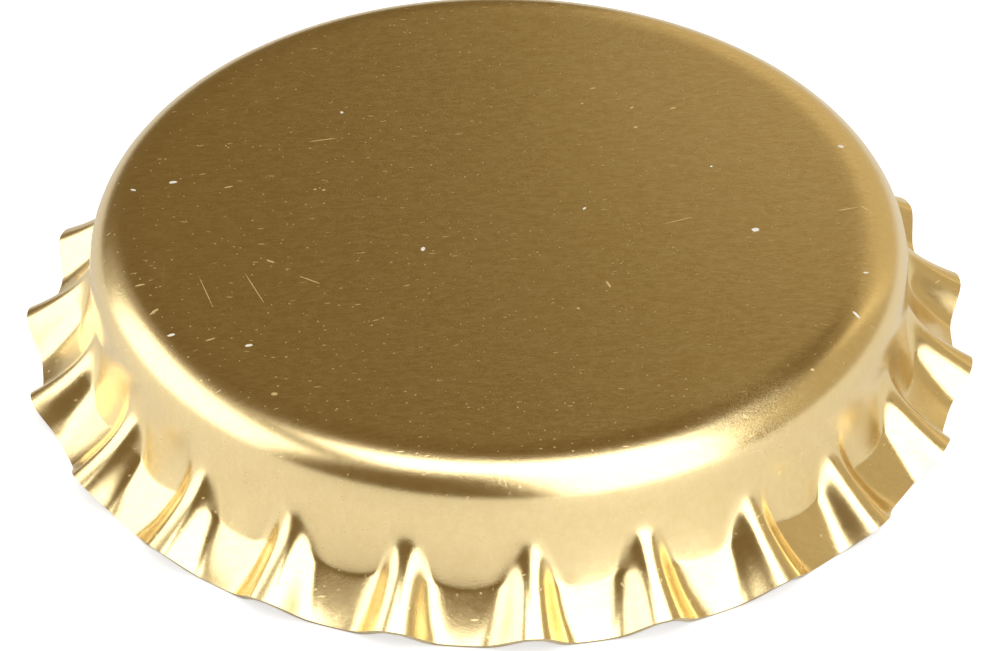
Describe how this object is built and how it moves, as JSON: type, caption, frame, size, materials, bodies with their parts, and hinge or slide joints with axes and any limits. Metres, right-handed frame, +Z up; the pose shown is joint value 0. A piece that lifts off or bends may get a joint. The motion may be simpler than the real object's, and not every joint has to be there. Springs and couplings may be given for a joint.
{
  "type": "bottle cap",
  "caption": "Uncrimped crown bottle cap: gold-lacquered pressed steel shell with a fluted, flared skirt and a moulded sealing liner inside.",
  "frame": {"origin": "on the cap's axis, at the level of the surface that its rim stands on", "axes": "+Z up along the cap's axis, from the open side to the closed top; +X through the crest of one ridge of the skirt"},
  "size_m": [0.032, 0.0318, 0.006],
  "materials": {
    "shell": "clear gold lacquer on bright rolled tinplate, satin on top, with fine scratches, specks and dust",
    "liner": "soft matte sealing compound"
  },
  "bodies": {
    "root": {"shell": "shell", "liner": "liner"}
  },
  "joints": []
}
